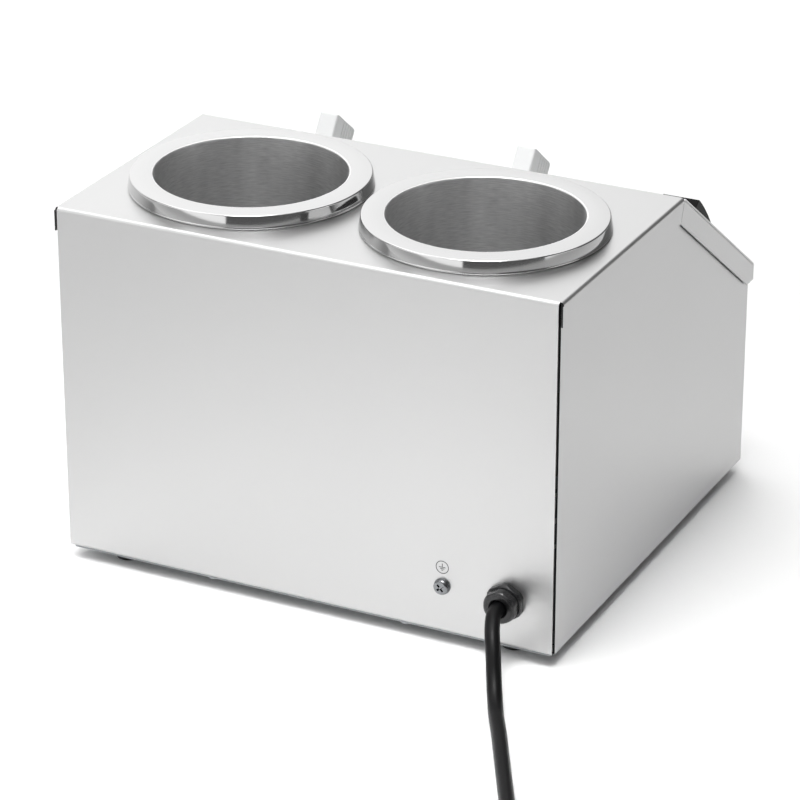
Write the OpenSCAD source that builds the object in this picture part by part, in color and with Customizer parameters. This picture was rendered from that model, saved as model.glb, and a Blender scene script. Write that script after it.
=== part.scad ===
// Electric sauce warmer with two lift-out pots. Seen from the front, left is -X.
// The origin is on the floor, midway between the panel's lip and the cable gland's end.

/* [Casing] */
// Width over the two side panels
body_w = 327; // [326:1:380]
// Depth from the rear panel to the lip of the control panel
body_d = 303; // [290:1:350]
// Height of the casing above the base plate
body_h = 224; // [216:1:260]
// Depth of the flat top
top_d = 180; // [172:1:196]
// Height of the control panel's low end above the base plate
nose_h = 136.5; // [120:0.5:150]
// Thickness of the stainless sheet
sheet_t = 1; // [0.8:0.1:1.2]
// Inside radius of the bends
bend_r = 1.2; // [0.8:0.1:1.6]
// Depth of the side flanges of the top and of the control panel
flange_h = 15; // [12:0.5:18]
// Height of the side flange's front end
flange_end_h = 11; // [9:0.5:14]
// Gap between the flanges and the casing that they cover
side_gap = 1; // [0.6:0.1:1.4]
// Height of the lip at the front of the control panel
lip_h = 6; // [5:0.5:9]
// Width of the inward returns along the sheets' edges
return_w = 12; // [11:0.5:14]
// Shadow gap between the rear panel and the side panels' rear edges
corner_gap = 2.2; // [1:0.1:3]
// Depth of the two lips that join the top to the control panel
joint_lip_h = 13; // [11:0.5:15]
// Diameter of the rivets through those lips
rivet_d = 3.2; // [3:0.2:4]

/* [Base and feet] */
// Height of a rubber foot below the base plate
foot_h = 7; // [6:0.5:12]
// Diameter of a rubber foot at its top
foot_d = 20; // [18:1:24]
// Distance from a foot's centre to the side panel
foot_in_x = 32; // [28:1:40]
// Distance from a rear foot's centre to the rear panel
foot_in_y = 18; // [17:1:26]
// Inset of the base plate's edge
base_in = 1.5; // [1:0.1:2.5]
// Width of a ventilation slot
vent_w = 4; // [3:0.5:5]
// Length of a ventilation slot
vent_l = 44; // [30:1:50]
// Distance from one ventilation slot to the next
vent_pitch = 11; // [8:0.5:12]

/* [Pots and wells] */
// Inside diameter of a pot
pot_d = 118; // [112:1:119]
// Thickness of a pot's sheet
pot_t = 1; // [0.8:0.1:1.4]
// Depth of a pot inside
pot_depth = 158; // [130:1:160]
// Inside radius at the foot of a pot's wall
pot_corner_r = 10; // [6:0.5:14]
// Distance between the two pots' axes
pot_pitch = 156; // [154:1:158]
// Distance from the rear panel to the pots' axes
pot_in = 86; // [82:1:90]
// Width of the flat of a pot's rim
rim_flat = 12.9; // [12:0.1:13.4]
// How far the band and bead of the rim reach past its flat
rim_roll = 1.6; // [1.2:0.1:2]
// Height of the rim above the casing's top
rim_h = 8.5; // [7.5:0.5:11]
// Gap between a pot and its heated well
well_gap = 1.5; // [1:0.1:2]
// Thickness of a heated well's sheet
well_t = 1; // [0.8:0.1:1.2]
// Width of the flange that hangs a well under the top
well_flange_w = 9; // [8:0.5:10]
// Gap between the floor of a well and the pot above it
well_floor_gap = 2.5; // [2:0.5:5]

/* [Heaters and sensors] */
// Height of a band heater
band_h = 52; // [40:1:60]
// Thickness of a band heater
band_t = 3; // [2.5:0.5:4]
// Height of a band heater's lower edge above the well's floor
band_up = 16; // [15:1:20]
// Width of the slit in a band heater
band_slit = 12; // [10:0.5:14]
// Diameter of a sensor bulb
bulb_d = 6; // [5:0.5:6]
// Length of a sensor bulb
bulb_l = 56; // [40:1:60]
// Diameter of a capillary tube
capillary_d = 1.6; // [1.4:0.1:2]
// Diameter of a thermal cut-out
cutout_d = 16; // [14:0.5:18]
// Height of a thermal cut-out
cutout_h = 8; // [6:0.5:10]

/* [Controls] */
// Distance down the slope from its crest to the knobs and the switch
control_s = 56; // [54:0.5:60]
// Distance from the middle of the casing to the left knob, towards the left
left_knob_x = 40; // [34:1:46]
// Distance between the two knobs
knob_pitch = 138; // [134:1:144]
// Diameter of a knob's skirt
knob_d = 40; // [38:0.5:43]
// Height of a knob above the control panel
knob_h = 24; // [20:0.5:28]
// Height of a knob's skirt above the control panel
skirt_h = 5; // [4.4:0.2:6]
// Gap between a knob and the control panel
knob_gap = 0.8; // [0.5:0.1:1]
// Width of a knob's grip
grip_w = 13; // [11.5:0.5:15]
// Length of a knob's grip
grip_l = 30; // [26:0.5:34]
// Diameter of a thermostat's shaft
shaft_d = 6; // [5.8:0.1:6.4]
// Width of a thermostat's body
stat_w = 36; // [34:1:40]
// Length of a thermostat's body
stat_l = 40; // [36:1:44]
// Depth of a thermostat's body
stat_h = 26; // [22:1:28]
// Distance between a thermostat's two fixing screws
stat_screw_pitch = 25; // [24.4:0.2:25.4]
// Distance down the slope from its crest to the pilot lamps
lamp_s = 112; // [110:1:118]
// Diameter of a pilot lamp's bezel
lamp_d = 14; // [13:0.5:17]

/* [Switch] */
// Distance from the left side panel to the middle of the switch
switch_in = 16; // [15.5:0.5:18]
// Width of the rocker
rocker_w = 24; // [22:0.5:24.5]
// Distance from the rocker's axis to the curved ends of the rocker
rocker_end_r = 17.4; // [16:0.2:18]
// Height of the rocker above its axis
rocker_rise = 6.8; // [6:0.2:8]
// Height of the rocker's axis above the control panel
rocker_axis_h = -0.2; // [-1:0.1:0.4]
// Half of the angle through which the rocker tilts
rocker_tilt = 12; // [8:0.5:13]
// Gap round the rocker
rocker_gap = 0.3; // [0.25:0.05:0.4]
// Wall of the switch's housing
switch_wall = 0.9; // [0.8:0.1:1]
// Depth of the switch's housing below the control panel
switch_depth = 22; // [20:1:26]

/* [Mains lead] */
// Diameter of the mains lead
cord_d = 9; // [8.6:0.1:9.2]
// Distance from the left side panel to the gland
gland_in = 30; // [27:0.5:36]
// Height of the gland's axis above the floor
gland_z = 38; // [36:1:42]
// How far the gland stands out of the rear panel
gland_out = 12; // [11:0.5:14]
// Diameter of the gland's flange
gland_d = 23.5; // [22.5:0.5:26]
// Distance from the gland to the earth screw
earth_pitch = 41.5; // [36:0.5:46]
// Diameter of the coil at the middle of its turns
coil_d = 108; // [106:1:110]
// Diameter of the plug's round body
plug_d = 37; // [35:0.5:38]
// Length of the plug's body
plug_l = 36; // [32:1:40]
// Length of the plug's tapered strain relief
relief_l = 30; // [24:1:36]
// Length of the plug's pins
pin_l = 19; // [18:0.5:20]

/* [Hidden] */

// Clearances: fits of still pieces, running fits, and screws in their holes
fit = 0.3;
running_fit = 0.1;
screw_fit = 0.1;
seam = 0.3;
eps = 0.01;

// Planes of the casing
base_z = foot_h + sheet_t;
top_z = base_z + body_h;
nose_z = base_z + nose_h;
rear_y = (body_d - gland_out) / 2;
front_y = rear_y - body_d;
crest_y = rear_y - top_d;
side_x = body_w / 2;
cover_x = side_x + side_gap + sheet_t;
gland_x = side_x - gland_in;
earth_x = gland_x - earth_pitch;
switch_x = side_x - switch_in;
shell_front_y = front_y + side_gap + sheet_t;
shell_rear_y = rear_y - sheet_t - corner_gap;
shell_in_x = side_x - sheet_t;
rear_half = side_x - 0.4;
lip_half = shell_in_x - 1;
roof_gap = 1;
bend_out = bend_r + sheet_t;

// The slope falls from the crest to the nose
slope_a = atan2(top_z - nose_z, crest_y - front_y);
slope_l = norm([top_z - nose_z, crest_y - front_y]);

// Pots and wells
pot_y = rear_y - pot_in;
pot_r = pot_d / 2;
pot_out_r = pot_r + pot_t;
well_r = pot_out_r + well_gap;
well_out_r = well_r + well_t;
rim_z = top_z + rim_h;
pot_floor_z = rim_z - pot_depth;
well_floor_z = pot_floor_z - pot_t - well_floor_gap;
well_under_z = well_floor_z - well_t;
band_z = well_under_z + band_up;
band_r = well_out_r + fit;

// Screws
screw_r = 1.75;
screw_head_r = 3.4;
screw_head_h = 2.2;
m4_r = 1.95;
m4_head_r = 3.6;
m4_head_h = 2.4;
m4_nut_w = 7;
m4_nut_h = 3.2;
base_screw_l = 8;
foot_seat_z = foot_h - 3.8;
foot_x = side_x - foot_in_x;

// Knobs, thermostats and lamps, in the frame of the slope
knob_x = [-left_knob_x, knob_pitch - left_knob_x];
shaft_r = shaft_d / 2;
shaft_top = knob_h - 5;
shaft_in = 12;
boss_r = shaft_r + 2.4;
skirt_wall = 2;
lamp_r = lamp_d / 2;
lamp_barrel_r = lamp_r - 2;
lamp_rim_h = 1.6;
lamp_barrel_l = 13;

// Switch
rocker_half_w = rocker_w / 2;
switch_in_w = rocker_w + 2 * rocker_gap;
switch_in_l = 2 * (rocker_end_r + rocker_gap);
switch_out_w = switch_in_w + 2 * switch_wall;
switch_out_l = switch_in_l + 2 * switch_wall;
bezel_edge = 1;
bezel_h = 2;
trunnion_r = 1.5;

// Mains lead: the route lies clear of the casing and ends at the coil
gland_y = rear_y + gland_out;
cord_r = cord_d / 2;
gland_bore_r = cord_r + fit;
lead_turn_r = 20;
// Points from the gland: sideways, backwards, and as a share of the gland's height
lead_run = [[0, 0, 1], [-0.5, 6.5, 1], [-3.8, 15.5, 0.94], [-7.6, 23.5, 0.82], [-11, 29.5, 0.64],
  [-14.5, 36, 0.37], [-18, 42.5, 0.18], [-22.5, 51, 0.05], [-27.5, 60.5, 0], [-36.5, 76.5, 0],
  [-51, 103.5, 0], [-65.5, 130.5, 0], [-79.5, 156.5, 0], [-93.5, 182.5, 0], [-107, 207.5, 0.015]];
route = [for (p = lead_run) [p.x - gland_x, p.y + gland_y, cord_r + p.z * (gland_z - cord_r)]];
coil_at = [-66.5 - gland_x, gland_y + 254.5];
coil_z = 1.2;
coil_thick = 2 * cord_d;
coil_r = coil_d / 2;
plug_at = [coil_at.x + 52, coil_at.y + coil_r + cord_r, plug_d / 2];
tail = [[plug_at.x - 30, plug_at.y, coil_z + 1.5 * cord_d], [plug_at.x - 17, plug_at.y, plug_at.z - 1.3],
  [plug_at.x - 8, plug_at.y, plug_at.z], [plug_at.x, plug_at.y, plug_at.z]];

stainless = "#d9dadb";
dark_stainless = "#8e9092";
zinc = "#b9bcc0";
black_rubber = "#1d1d1e";
black_plastic = "#17181a";

// One turn of a list
function reversed(a) = [for (i = [len(a) - 1:-1:0]) a[i]];
function unit(v) = v / norm(v);
function arc(centre, a, b, from, to, n) =
  [for (i = [0:n]) let (t = from + (to - from) * i / n) centre + [a * cos(t), b * sin(t)]];

// Points that round the corner b between a and c
function corner(a, b, c, r) =
  let (u = unit(a - b), v = unit(c - b), half = acos(u * v) / 2,
    centre = b + unit(u + v) * r / sin(half),
    p = b + u * r / tan(half) - centre, q = b + v * r / tan(half) - centre,
    from = atan2(p.y, p.x), turn = atan2(p.x * q.y - p.y * q.x, p * q), n = 4)
  r <= eps ? [b] : [for (i = [0:n]) centre + r * [cos(from + turn * i / n), sin(from + turn * i / n)]];
function turn_at(path, i) = i == 0 || i == len(path) - 1 ? 0 :
  sign(cross(path[i] - path[i - 1], path[i + 1] - path[i]));
function rounded(path, radii) = [for (i = [0:len(path) - 1])
  each i == 0 || i == len(path) - 1 ? [path[i]] :
    corner(path[i - 1], path[i], path[i + 1], radii[i])];

// The path moved by t to its right, with mitred corners
function right_of(v) = [v.y, -v.x];
function moved(path, t) = [for (i = [0:len(path) - 1]) let (
    a = i == 0 ? undef : right_of(unit(path[i] - path[i - 1])),
    b = i == len(path) - 1 ? undef : right_of(unit(path[i + 1] - path[i])))
  path[i] + t * (is_undef(a) ? b : is_undef(b) ? a : (a + b) / (1 + a * b))];

// Section of a bent sheet that lies on the right of its path
module bent_sheet(path, t, r) {
  turns = [for (i = [0:len(path) - 1]) turn_at(path, i)];
  near = [for (i = [0:len(path) - 1]) r[i] <= 0 ? 0 : turns[i] < 0 ? r[i] + t : r[i]];
  far = [for (i = [0:len(path) - 1]) r[i] <= 0 ? 0 : turns[i] < 0 ? r[i] : r[i] + t];
  polygon(concat(rounded(path, near), reversed(rounded(moved(path, t), far))));
}

// Extrusions along X of a section in Y and Z, and along Y of a section in X and Z
module along_x(half) {
  translate([-half, 0, 0]) rotate([90, 0, 90]) linear_extrude(2 * half) children();
}
module along_y(from, to) {
  translate([0, to, 0]) rotate([90, 0, 0]) linear_extrude(to - from) children();
}

// The slope's frame: X along the casing, Y up the slope and Z out of the panel
module on_slope(x, s) {
  translate([0, crest_y, top_z]) rotate([slope_a, 0, 0]) translate([x, -s, 0]) children();
}
module hexagon(w, h) {
  cylinder(r = w / sqrt(3), h = h, $fn = 6);
}
module rounded_block(w, l, h, r) {
  linear_extrude(h) rounded_rectangle(w, l, r);
}
module rounded_rectangle(w, l, r) {
  polygon([for (c = [[1, 1, 0], [-1, 1, 90], [-1, -1, 180], [1, -1, 270]])
    each arc([c.x * (w / 2 - r), c.y * (l / 2 - r)], r, r, c.z, c.z + 90, 4)]);
}
// A domed head on +Z with a cross recess, and its shank below
module pan_screw(shank_r, shank_l, head_r, head_h) {
  difference() {
    rotate_extrude($fn = 48) polygon(concat([[0, 0], [head_r, 0]],
      arc([head_r - head_h * 0.7, head_h * 0.3], head_h * 0.7, head_h * 0.7, 0, 90, 4),
      [[0, head_h]]));
    for (a = [0, 90]) rotate(a) translate([-head_r * 0.54, -head_r * 0.12, head_h * 0.5])
      cube([head_r * 1.08, head_r * 0.24, head_h]);
  }
  translate([0, 0, -shank_l]) cylinder(r = shank_r, h = shank_l + head_h * 0.3, $fn = 32);
}

// Where the side of the top meets the side of the slope
mitre = tan(slope_a / 2);
module mitre_cut(side) {
  far = 400;
  gap = side * seam / 2;
  along_x(cover_x + 1) polygon([[crest_y + gap, top_z + 5], [crest_y + gap, top_z],
    [crest_y + gap + far * mitre, top_z - far], [crest_y - side * far, top_z - far],
    [crest_y - side * far, top_z + 5]]);
}

// Top with its side flanges, bent down at the back to make the rear panel
module top_rear_cover() {
  color(stainless) difference() {
    union() {
      difference() {
        along_y(crest_y, rear_y - bend_out) bent_sheet([[-cover_x, top_z - flange_h],
          [-cover_x, top_z], [cover_x, top_z], [cover_x, top_z - flange_h]],
          sheet_t, [0, bend_r, bend_r, 0]);
        intersection() {
          mitre_cut(1);
          translate([-cover_x - 1, crest_y - 1, top_z - flange_h - 1])
            cube([2 * cover_x + 2, flange_h, flange_h + 1 - sheet_t]);
        }
      }
      for (side = [-1, 1]) translate([side * (cover_x - sheet_t / 2) - sheet_t / 2,
        rear_y - bend_out - 1, top_z - flange_h])
        cube([sheet_t, bend_out, flange_h - bend_out]);
      along_x(rear_half) bent_sheet([[rear_y - 20, top_z], [rear_y, top_z], [rear_y, base_z],
        [rear_y - return_w, base_z]], sheet_t, [0, bend_r, bend_r, 0]);
      translate([-lip_half, crest_y, top_z - joint_lip_h])
        cube([2 * lip_half, sheet_t, joint_lip_h]);
    }
    for (x = [-1, 1]) translate([x * pot_pitch / 2, pot_y, top_z - 5])
      cylinder(r = well_r, h = 10, $fn = 128);
    translate([-gland_x, rear_y + 5, gland_z]) rotate([90, 0, 0])
      cylinder(r = gland_thread_r + screw_fit, h = 10, $fn = 64);
    translate([-earth_x, rear_y + 5, gland_z]) rotate([90, 0, 0])
      cylinder(r = m5_r + screw_fit, h = 10, $fn = 32);
    for (side = [-1, 1]) translate([side * (shell_in_x + 2) - 2.4, rear_y - return_w - 1, base_z - 1])
      cube([4.8, return_w + 1 - bend_out, sheet_t + 2]);
    rivet_places() cylinder(r = rivet_d / 2 + screw_fit, h = 8, center = true, $fn = 32);
    rear_base_screws() cylinder(r = screw_r + screw_fit, h = 6, center = true, $fn = 32);
  }
}

// Sloped panel with its lips and mitred side flanges
module control_panel() {
  end_y = crest_y - seam / 2;
  under = (sheet_t + 0.2) / cos(slope_a);
  color(stainless) difference() {
    union() {
      along_x(cover_x) bent_sheet([[front_y, nose_z - lip_h], [front_y, nose_z],
        [crest_y - 2 * cos(slope_a), top_z - 2 * sin(slope_a)]], sheet_t, [0, bend_r, 0]);
      translate([-lip_half, crest_y - sheet_t, top_z - joint_lip_h])
        cube([2 * lip_half, sheet_t - eps, joint_lip_h - sheet_t]);
      intersection() {
        on_slope(0, slope_l + 20) along_y(0, slope_l + 40) bent_sheet([[-cover_x, -flange_h],
          [-cover_x, 0], [cover_x, 0], [cover_x, -flange_h]], sheet_t, [0, bend_r, bend_r, 0]);
        along_x(cover_x + 1) polygon([[front_y, nose_z - flange_end_h],
          [front_y, nose_z - eps], [end_y, top_z + 5], [end_y, top_z - under],
          [end_y + under * mitre, top_z - under], [end_y + flange_h * mitre, top_z - flange_h],
          [end_y, nose_z - flange_end_h]]);
      }
    }
    for (x = knob_x) on_slope(x, control_s) {
      cylinder(r = stat_bush_r + fit, h = 10, center = true, $fn = 48);
      stat_screw_places() cylinder(r = m4_r + screw_fit, h = 10, center = true, $fn = 32);
    }
    for (x = knob_x) on_slope(x, lamp_s)
      cylinder(r = lamp_barrel_r + fit, h = 10, center = true, $fn = 48);
    on_slope(-switch_x, control_s) translate([0, 0, -5])
      rounded_block(switch_out_w + 2 * screw_fit, switch_out_l + 2 * screw_fit, 10, 0.6);
    rivet_places() cylinder(r = rivet_d / 2 + screw_fit, h = 8, center = true, $fn = 32);
  }
}

// Rivets through the two lips under the crest
module rivet_places() {
  for (x = [-1.5:1:1.5]) translate([x * body_w / 4.6, crest_y, top_z - joint_lip_h * 0.6])
    rotate([90, 0, 0]) children();
}
module lip_rivets() {
  color(zinc) rivet_places() {
    cylinder(r = rivet_d / 2, h = 2 * sheet_t, center = true, $fn = 32);
    for (side = [-1, 1]) translate([0, 0, side * (sheet_t + 0.5) - 0.5])
      cylinder(r = rivet_d * 0.8, h = 1, $fn = 32);
  }
}

// Sides and front in one sheet, with returns along the bottom
module body_shell() {
  color(stainless) difference() {
    union() {
      translate([0, 0, base_z]) linear_extrude(body_h) bent_sheet([[side_x, shell_rear_y],
        [side_x, shell_front_y], [-side_x, shell_front_y], [-side_x, shell_rear_y]],
        sheet_t, [0, bend_r, bend_r, 0]);
      for (side = [-1, 1]) mirror([side > 0 ? 1 : 0, 0, 0])
        translate([-side_x + bend_out, shell_front_y + bend_out, base_z])
          cube([return_w - bend_out, rear_y - return_w - shell_front_y - bend_out - 1, sheet_t]);
      for (side = [-1, 1]) translate([side * (side_x - bend_out) - bend_out,
        shell_front_y + bend_out, base_z])
        cube([2 * bend_out - sheet_t * 0.5, 30, sheet_t]);
      translate([-side_x + bend_out, shell_front_y + sheet_t / 2, base_z])
        cube([2 * (side_x - bend_out), return_w - sheet_t / 2, sheet_t]);
    }
    roof_cut();
    translate([-side_x + sheet_t + eps, rear_y - return_w - 1, base_z - 1])
      cube([2 * (shell_in_x - eps), return_w, sheet_t + 1.5]);
    shell_base_screws() cylinder(r = screw_r + screw_fit, h = 6, center = true, $fn = 32);
  }
}
// All that lies above the undersides of the top and of the slope
module roof_cut() {
  drop = (sheet_t + roof_gap) / cos(slope_a);
  run = cos(slope_a) * 30;
  fall = sin(slope_a) * 30;
  low = top_z - sheet_t - roof_gap;
  along_x(side_x + 1) polygon([[rear_y + 5, top_z + 5], [rear_y + 5, low], [crest_y, low],
    [front_y, nose_z - drop], [front_y - run, nose_z - drop - fall], [front_y - run, top_z + 5]]);
}

// Screws that hold the base plate to the returns above it
module shell_base_screws() {
  for (x = [-1, 1]) {
    for (y = [-95, 40]) translate([x * (side_x - return_w / 2), y, base_z]) children();
    translate([x * body_w / 5, shell_front_y + return_w / 2, base_z]) children();
  }
}
module rear_base_screws() {
  for (x = [-1, 1]) translate([x * body_w / 5, rear_y - return_w / 2, base_z]) children();
}
module base_screws() {
  color(zinc) {
    shell_base_screws() base_screw();
    rear_base_screws() base_screw();
  }
}
module base_screw() {
  translate([0, 0, -sheet_t]) mirror([0, 0, 1])
    pan_screw(screw_r, base_screw_l, screw_head_r, screw_head_h);
}
module foot_places() {
  for (x = [-1, 1], y = [front_y + foot_in_y + 4, rear_y - foot_in_y])
    translate([x * foot_x, y, 0]) children();
}

// Flat plate under the casing with two rows of ventilation slots
module base_plate() {
  from_y = shell_front_y + base_in;
  color(zinc) difference() {
    translate([0, (from_y + rear_y - base_in) / 2, foot_h])
      rounded_block(body_w - 2 * base_in, rear_y - base_in - from_y, sheet_t, 3);
    for (row = [-1, 1], i = [-3:3])
      translate([row * pot_pitch / 2 + i * vent_pitch, pot_y, foot_h - 1])
        rounded_block(vent_w, vent_l, sheet_t + 2, vent_w / 2 - eps);
    foot_places() cylinder(r = m4_r + screw_fit, h = 40, $fn = 32);
    shell_base_screws() cylinder(r = screw_r + screw_fit, h = 6, center = true, $fn = 32);
    rear_base_screws() cylinder(r = screw_r + screw_fit, h = 6, center = true, $fn = 32);
  }
}

// Tapered rubber feet with a recess for the screw
module rubber_feet() {
  bottom_r = foot_d / 2 - 1.6;
  color(black_rubber) foot_places() rotate_extrude($fn = 64) polygon(concat(
    [[m4_r + screw_fit, foot_h], [m4_r + screw_fit, foot_seat_z],
     [m4_head_r + 1.4, foot_seat_z], [m4_head_r + 1.4, 0]],
    arc([bottom_r - 1, 1], 1, 1, -90, 0, 4), [[foot_d / 2, foot_h - 1], [foot_d / 2, foot_h]]));
}
module foot_screws() {
  color(zinc) foot_places() translate([0, 0, foot_seat_z]) mirror([0, 0, 1])
    pan_screw(m4_r, base_z + m4_nut_h + 1.5 - foot_seat_z, m4_head_r, m4_head_h);
}
module foot_nuts() {
  color(zinc) foot_places() translate([0, 0, base_z]) difference() {
    hexagon(m4_nut_w, m4_nut_h);
    translate([0, 0, -1]) cylinder(r = m4_r + screw_fit, h = m4_nut_h + 2, $fn = 32);
  }
}

// Fixed cup that a pot hangs in, with its flange under the top
module heated_well(side) {
  flange_z = top_z - sheet_t - well_t;
  color(dark_stainless) translate([side * pot_pitch / 2, pot_y, 0]) rotate_extrude($fn = 128)
    bent_sheet([[well_out_r + well_flange_w, flange_z], [well_out_r, flange_z],
      [well_out_r, well_under_z], [0, well_under_z]], well_t, [0, 0.4, pot_corner_r, 0]);
}

// Spun pot: flat rim, upright band with a bead at its foot, straight bore and a rounded floor
module pot(side) {
  bead = [0.7, 0.9];
  out_r = pot_r + rim_flat + rim_roll;
  band_out_r = out_r - 0.1;
  band_in_r = band_out_r - pot_t;
  near_face = rounded([[0, pot_floor_z], [pot_r, pot_floor_z], [pot_r, rim_z],
    [band_out_r, rim_z], [band_out_r, top_z + 2 * bead.y]], [0, pot_corner_r, 1, 1.1, 0]);
  far_face = rounded([[band_in_r, rim_z - pot_t], [pot_out_r, rim_z - pot_t],
    [pot_out_r, pot_floor_z - pot_t], [0, pot_floor_z - pot_t]], [0, 0.5, pot_corner_r + pot_t, 0]);
  color(stainless) translate([side * pot_pitch / 2, pot_y, 0]) rotate_extrude($fn = 128)
    polygon(concat(near_face, arc([out_r - bead.x, top_z + bead.y], bead.x, bead.y, 50, -90, 6),
      [[band_in_r, top_z + bead.y * 0.5]], far_face));
}

// Mica band round a well, clamped through two ears at its slit
ear_l = 12;
ear_t = 2;
ear_gap_x = band_slit / 2;
module band_heater(side) {
  color("#a9a08c") translate([side * pot_pitch / 2, pot_y, band_z]) difference() {
    union() {
      difference() {
        cylinder(r = band_r + band_t, h = band_h, $fn = 96);
        translate([0, 0, -1]) cylinder(r = band_r, h = band_h + 2, $fn = 96);
      }
      for (x = [-1, 1]) translate([x * (ear_gap_x + ear_t / 2) - ear_t / 2,
        -band_r - band_t - ear_l, band_h * 0.15]) cube([ear_t, ear_l + band_t / 2, band_h * 0.7]);
      for (a = [-40, -140]) rotate([0, 0, a]) translate([band_r + band_t / 2, 0, band_h * 0.8])
        rotate([0, 90, 0]) cylinder(r = 3, h = 8 + band_t / 2, $fn = 32);
    }
    translate([-ear_gap_x, -band_r - band_t - ear_l - 1, -1])
      cube([band_slit, ear_l + 2 * band_t + 8, band_h + 2]);
    translate([0, -band_r - band_t - ear_l * 0.55, band_h / 2]) rotate([0, 90, 0])
      cylinder(r = m4_r + screw_fit, h = 40, center = true, $fn = 32);
  }
}
module heater_clamp_screws() {
  reach = ear_gap_x + ear_t;
  color(zinc) for (side = [-1, 1]) translate([side * pot_pitch / 2,
    pot_y - band_r - band_t - ear_l * 0.55, band_z + band_h / 2]) {
    translate([reach, 0, 0]) rotate([0, 90, 0])
      pan_screw(m4_r, 2 * reach + m4_nut_h + 1.5, m4_head_r, m4_head_h);
    translate([-reach, 0, 0]) rotate([0, -90, 0]) difference() {
      hexagon(m4_nut_w, m4_nut_h);
      translate([0, 0, -1]) cylinder(r = m4_r + screw_fit, h = m4_nut_h + 2, $fn = 32);
    }
  }
}

// Disc cut-out against the floor of a well, with its two tabs
module thermal_cutout(side) {
  color("#3a2a22") translate([side * pot_pitch / 2, pot_y, well_under_z - cutout_h])
    cylinder(r = cutout_d / 2, h = cutout_h, $fn = 48);
  color(zinc) translate([side * pot_pitch / 2, pot_y, well_under_z]) {
    for (x = [-1, 1]) translate([x * cutout_d * 0.26 - 0.4, -3, -cutout_h - 7])
      cube([0.8, 6, 7.5]);
    for (x = [-1, 1]) translate([x * cutout_d / 2 - (x < 0 ? 6 : 0.5), -5, -1])
      cube([6.5, 10, 1]);
  }
}

// Bulb beside the well, its clip, and the capillary tube up to the thermostat
bulb_r = bulb_d / 2;
bulb_a = -62;
bulb_out = well_out_r + fit + bulb_r;
bulb_z = band_z + band_h + 8;
function bulb_at(side) = [side * pot_pitch / 2 + bulb_out * cos(bulb_a), pot_y + bulb_out * sin(bulb_a)];
module sensor(index) {
  side = index == 0 ? -1 : 1;
  at = bulb_at(side);
  stat = [knob_x[index] + stat_w / 2 - 8,
    crest_y - control_s * cos(slope_a) + (stat_h + sheet_t) * sin(slope_a),
    top_z - control_s * sin(slope_a) - (stat_h + sheet_t) * cos(slope_a)];
  top = bulb_z + bulb_l;
  start = [at.x, at.y, top - 1];
  lift = top + 9;
  lead_out = [0, sin(slope_a), -cos(slope_a)];
  color("#b4703c") {
    translate([at.x, at.y, bulb_z]) cylinder(r = bulb_r, h = bulb_l, $fn = 32);
    tube([start, [at.x, at.y, top + 4], [at.x, at.y - 3, lift - 1], [at.x, at.y - 9, lift],
      [at.x, at.y - 17, lift - 4], (start + stat) / 2 + [0, 5, -14], stat + 22 * lead_out + [0, 3, -2],
      stat + 12 * lead_out, stat + 5 * lead_out, stat], capillary_d / 2, 8);
  }
  color(zinc) translate([at.x, at.y, bulb_z + bulb_l * 0.4]) difference() {
    rotate([0, 0, bulb_a]) translate([-bulb_r - fit + 0.05, -bulb_r - 1.2, 0])
      cube([2 * bulb_r + fit + 1.2, 2 * bulb_r + 2.4, 8]);
    translate([0, 0, -1]) cylinder(r = bulb_r - eps, h = 10, $fn = 32);
  }
}

// Capillary thermostat behind the panel
stat_bush_r = shaft_r + 2.4;
stat_bush_h = 2;
stat_plate_t = 1.2;
module stat_screw_places() {
  for (x = [-1, 1]) translate([x * stat_screw_pitch / 2, 0, 0]) children();
}
module thermostat(index) {
  on_slope(knob_x[index], control_s) difference() {
    union() {
      color("#c9c4b4") translate([0, 0, -sheet_t - stat_h])
        rounded_block(stat_w, stat_l, stat_h - stat_plate_t, 2);
      color(zinc) translate([0, 0, -sheet_t - stat_plate_t - eps])
        rounded_block(stat_w + 2, stat_l + 2, stat_plate_t + eps, 2);
      color(zinc) translate([0, 0, -sheet_t - eps])
        cylinder(r = stat_bush_r, h = sheet_t + stat_bush_h, $fn = 48);
      color(zinc) for (x = [-1, 0, 1]) translate([x * stat_w * 0.3 - 0.4, -3 - stat_l * 0.2, -sheet_t - stat_h - 8])
        cube([0.8, 6, 9]);
    }
    translate([0, 0, -shaft_in - 0.5]) cylinder(r = shaft_r + running_fit, h = 40, $fn = 48);
    stat_screw_places() translate([0, 0, -12]) cylinder(r = m4_r + screw_fit, h = 20, $fn = 32);
  }
}
module thermostat_screws() {
  color(zinc) for (x = knob_x) on_slope(x, control_s) stat_screw_places()
    pan_screw(m4_r, 8, m4_head_r - 0.2, m4_head_h - 0.2);
}

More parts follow.
